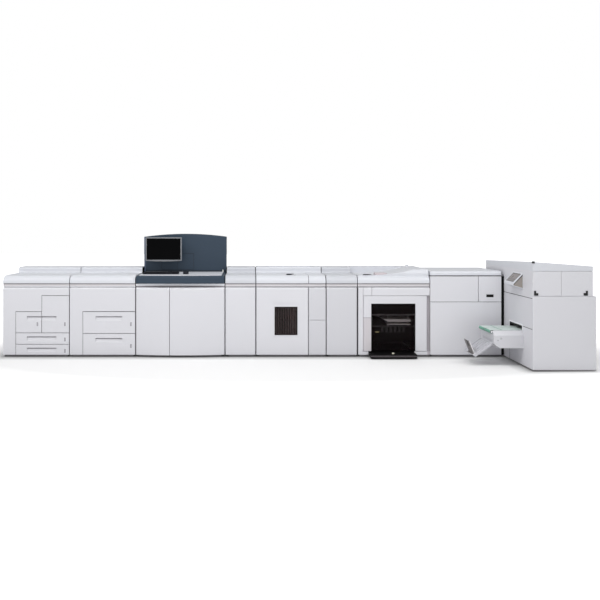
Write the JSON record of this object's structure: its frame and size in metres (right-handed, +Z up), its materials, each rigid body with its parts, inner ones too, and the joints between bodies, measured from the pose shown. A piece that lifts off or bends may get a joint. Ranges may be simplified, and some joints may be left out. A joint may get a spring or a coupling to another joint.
{
  "type": "digital production printer line",
  "caption": "Inline digital production printer with sheet feeders, bowed-door print engine, operator console, stackers and a booklet maker with a delivery belt and tray.",
  "frame": {"origin": "centre of the line's bounding box on the floor", "axes": "+X along the line from the feeders to the booklet maker, +Y from the operator's side to the rear, +Z up"},
  "size_m": [6.683, 1.565, 1.469],
  "materials": {
    "panel_white": "fine textured powder coat, satin",
    "hood_white": "fine moulded grain, satin",
    "console_blue": "dark blue-grey, satin",
    "device_grey": "dark grey moulding",
    "screen_black": "switched-off screen",
    "tinted_glass": "dark tinted sheet",
    "guide_steel": "brushed",
    "belt_mint": "smooth conveyor belting",
    "seal_black": "matt",
    "plinth_black": "matt black"
  },
  "bodies": {
    "line": {"feeder_a_cabinet": "panel_white", "feeder_b_cabinet": "panel_white", "engine_cabinet": "panel_white", "transport_cabinets": "panel_white", "stacker_a_cabinet": "panel_white", "stacker_a_side_panels": "panel_white", "stacker_b_cabinet": "panel_white", "stacker_b_fascia": "panel_white", "interface_cabinet": "panel_white", "interface_panels": "panel_white", "booklet_cabinet": "panel_white", "booklet_upper_doors": "panel_white", "booklet_front_cover": "panel_white", "conveyor_frame": "panel_white", "delivery_tray": "panel_white", "feeder_hoods": "hood_white", "transport_hoods": "hood_white", "stacker_a_hood": "hood_white", "stacker_b_hood": "hood_white", "interface_hood": "hood_white", "booklet_lid": "hood_white", "touch_screen_housing": "hood_white", "work_surface": "hood_white", "console_ledge": "console_blue", "console_panel": "console_blue", "monitor_housing": "device_grey", "keyboard": "device_grey", "mouse": "device_grey", "monitor_screen": "screen_black", "touch_screen": "screen_black", "stacker_b_guides": "guide_steel", "conveyor_rollers": "guide_steel", "tray_end_stop": "guide_steel", "conveyor_belts": "belt_mint", "docking_seals": "seal_black", "line_plinth": "plinth_black", "booklet_plinth": "plinth_black", "stacker_b_cart": "plinth_black", "corner_latches": "plinth_black"},
    "left_drawer": {"feeder_a_drawer_left": "panel_white"},
    "tall_drawer": {"feeder_a_drawer_tall": "panel_white"},
    "middle_drawer": {"feeder_a_drawer_middle": "panel_white"},
    "bottom_drawer": {"feeder_a_drawer_bottom": "panel_white"},
    "upper_drawer": {"feeder_b_drawer_upper": "panel_white"},
    "lower_drawer": {"feeder_b_drawer_lower": "panel_white"},
    "engine_door_left": {"engine_door_left": "panel_white"},
    "engine_door_right": {"engine_door_right": "panel_white"},
    "transport_a_door": {"transport_a_door": "panel_white"},
    "stacker_a_door": {"stacker_a_door": "panel_white", "stacker_a_window": "tinted_glass"},
    "transport_b_door": {"transport_b_door": "panel_white"},
    "stacker_b_door": {"stacker_b_door": "panel_white", "stacker_b_window": "tinted_glass"}
  },
  "joints": [
    {"name": "left_drawer_slide", "type": "slide", "parent": "line", "child": "left_drawer", "axis": [0, -1, 0], "range_m": [0, 0.45]},
    {"name": "tall_drawer_slide", "type": "slide", "parent": "line", "child": "tall_drawer", "axis": [0, -1, 0], "range_m": [0, 0.45]},
    {"name": "middle_drawer_slide", "type": "slide", "parent": "line", "child": "middle_drawer", "axis": [0, -1, 0], "range_m": [0, 0.45]},
    {"name": "bottom_drawer_slide", "type": "slide", "parent": "line", "child": "bottom_drawer", "axis": [0, -1, 0], "range_m": [0, 0.45]},
    {"name": "upper_drawer_slide", "type": "slide", "parent": "line", "child": "upper_drawer", "axis": [0, -1, 0], "range_m": [0, 0.45]},
    {"name": "lower_drawer_slide", "type": "slide", "parent": "line", "child": "lower_drawer", "axis": [0, -1, 0], "range_m": [0, 0.45]},
    {"name": "engine_door_left_hinge", "type": "hinge", "parent": "line", "child": "engine_door_left", "pos_m": [-1.7315, 0.0225, 0.03], "axis": [0, 0, -1], "range_deg": [0, 80]},
    {"name": "engine_door_right_hinge", "type": "hinge", "parent": "line", "child": "engine_door_right", "pos_m": [-0.7095, 0.0225, 0.03], "axis": [0, 0, 1], "range_deg": [0, 80]},
    {"name": "transport_a_door_hinge", "type": "hinge", "parent": "line", "child": "transport_a_door", "pos_m": [-0.6595, 0.0225, 0.03], "axis": [0, 0, -1], "range_deg": [0, 90]},
    {"name": "stacker_a_door_hinge", "type": "hinge", "parent": "line", "child": "stacker_a_door", "pos_m": [-0.2895, 0.0225, 0.03], "axis": [0, 0, -1], "range_deg": [0, 90]},
    {"name": "transport_b_door_hinge", "type": "hinge", "parent": "line", "child": "transport_b_door", "pos_m": [0.5505, 0.0225, 0.03], "axis": [0, 0, -1], "range_deg": [0, 90]},
    {"name": "stacker_b_door_hinge", "type": "hinge", "parent": "line", "child": "stacker_b_door", "pos_m": [1.7165, 0.0225, 0.03], "axis": [0, 0, 1], "range_deg": [0, 90]}
  ]
}
